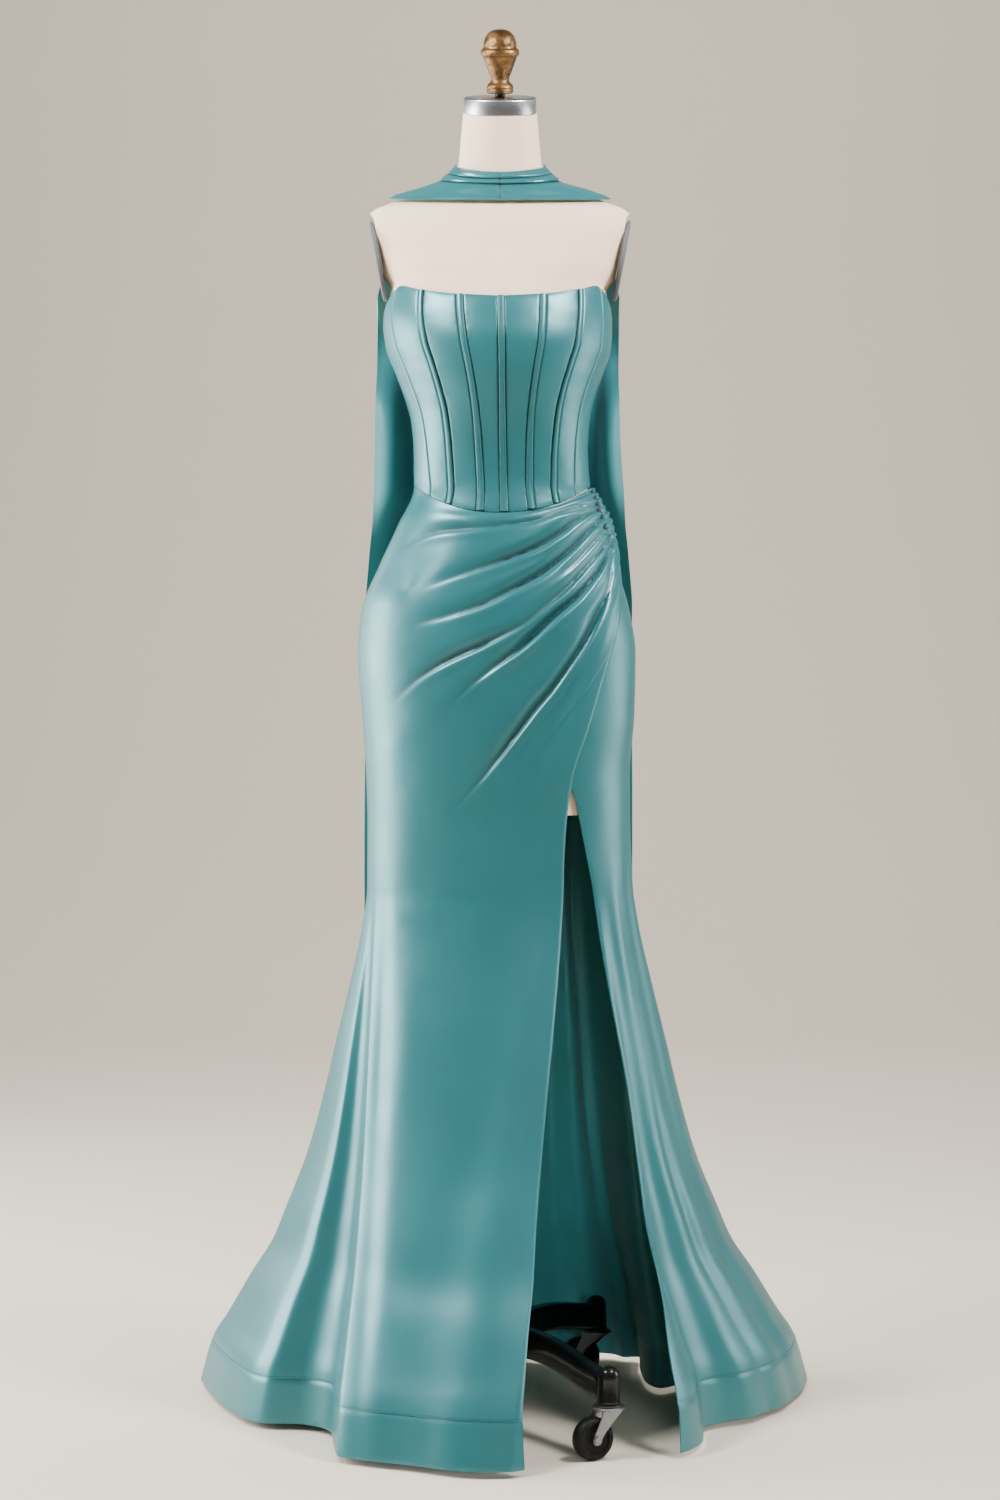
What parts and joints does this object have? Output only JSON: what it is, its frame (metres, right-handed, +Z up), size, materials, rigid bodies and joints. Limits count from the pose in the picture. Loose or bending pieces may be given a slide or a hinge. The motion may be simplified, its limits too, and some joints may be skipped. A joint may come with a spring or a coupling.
{
  "type": "mermaid gown on dress form",
  "caption": "Strapless boned mermaid gown with a draped wrap skirt, front slit and matching neck scarf, on a limbless dress form with a rolling base.",
  "frame": {"origin": "on the floor, under the axis of the stand's pole", "axes": "+Z up, -Y towards the front of the gown, +X to the viewer's right from the front"},
  "size_m": [0.7939, 0.655, 1.7198],
  "materials": {
    "satin": "teal satin, smooth, with a strong soft sheen",
    "form_cloth": "cream jersey stretched smooth over the form",
    "cap_steel": "brushed steel",
    "finial_brass": "aged hammered brass",
    "stand_black": "black gloss paint over cast iron",
    "caster_zinc": "zinc plated",
    "wheel_rubber": "black rubber tyre",
    "arm_plate": "grey matte",
    "zip_metal": "small metal slider and tab"
  },
  "bodies": {
    "root": {"bodice_front_1": "satin", "bodice_front_2": "satin", "bodice_front_3": "satin", "bodice_front_4": "satin", "bodice_front_5": "satin", "bodice_front_6": "satin", "bodice_front_7": "satin", "bodice_front_8": "satin", "bodice_back_1": "satin", "bodice_back_2": "satin", "bodice_back_3": "satin", "bodice_back_4": "satin", "bone_channel_bust_left": "satin", "bone_channel_inner_left": "satin", "bone_channel_centre": "satin", "bone_channel_inner_right": "satin", "bone_channel_bust_right": "satin", "skirt_wrap_panel": "satin", "skirt_side_panel": "satin", "skirt_back_right": "satin", "skirt_back_left": "satin", "hem_band_front": "satin", "hem_band_side": "satin", "hem_band_back_right": "satin", "hem_band_back_left": "satin", "scarf_pleat_top": "satin", "scarf_pleat_middle": "satin", "scarf_pleat_lower": "satin", "scarf_tail_left": "satin", "scarf_tail_right": "satin", "zip_slider": "zip_metal", "form_torso": "form_cloth", "arm_plate_left": "arm_plate", "arm_plate_right": "arm_plate", "neck_cap": "cap_steel", "finial_stud": "stand_black", "finial_knob": "finial_brass", "pole": "stand_black", "stand_hub": "stand_black", "leg_front_right": "stand_black", "leg_back_right": "stand_black", "leg_back_left": "stand_black", "leg_front_left": "stand_black"},
    "caster_front_right": {"caster_fork_front_right": "caster_zinc"},
    "wheel_front_right": {"caster_wheel_front_right": "wheel_rubber"},
    "caster_back_right": {"caster_fork_back_right": "caster_zinc"},
    "wheel_back_right": {"caster_wheel_back_right": "wheel_rubber"},
    "caster_back_left": {"caster_fork_back_left": "caster_zinc"},
    "wheel_back_left": {"caster_wheel_back_left": "wheel_rubber"},
    "caster_front_left": {"caster_fork_front_left": "caster_zinc"},
    "wheel_front_left": {"caster_wheel_front_left": "wheel_rubber"},
    "zip_tab": {"zip_pull_tab": "zip_metal"}
  },
  "joints": [
    {"name": "swivel_front_right", "type": "hinge", "parent": "root", "child": "caster_front_right", "pos_m": [0.1275, -0.22084, 0.06], "axis": [0, 0, 1], "continuous": true},
    {"name": "roll_front_right", "type": "hinge", "parent": "caster_front_right", "child": "wheel_front_right", "pos_m": [0.10845, -0.23184, 0.025], "axis": [-0.5, 0.866, 0], "continuous": true},
    {"name": "swivel_back_right", "type": "hinge", "parent": "root", "child": "caster_back_right", "pos_m": [0.1275, 0.22084, 0.06], "axis": [0, 0, 1], "continuous": true},
    {"name": "roll_back_right", "type": "hinge", "parent": "caster_back_right", "child": "wheel_back_right", "pos_m": [0.10845, 0.23184, 0.025], "axis": [0.5, 0.866, 0], "continuous": true},
    {"name": "swivel_back_left", "type": "hinge", "parent": "root", "child": "caster_back_left", "pos_m": [-0.1275, 0.22084, 0.06], "axis": [0, 0, 1], "continuous": true},
    {"name": "roll_back_left", "type": "hinge", "parent": "caster_back_left", "child": "wheel_back_left", "pos_m": [-0.10756, 0.23013, 0.025], "axis": [0.4226, -0.9063, 0], "continuous": true},
    {"name": "swivel_front_left", "type": "hinge", "parent": "root", "child": "caster_front_left", "pos_m": [-0.1275, -0.22084, 0.06], "axis": [0, 0, 1], "continuous": true},
    {"name": "roll_front_left", "type": "hinge", "parent": "caster_front_left", "child": "wheel_front_left", "pos_m": [-0.1165, -0.20178, 0.025], "axis": [0.866, -0.5, 0], "continuous": true},
    {"name": "zip_tab_lift", "type": "hinge", "parent": "root", "child": "zip_tab", "pos_m": [0, 0.0894, 1.3423], "axis": [1, 0, 0], "range_deg": [0, 110]}
  ]
}
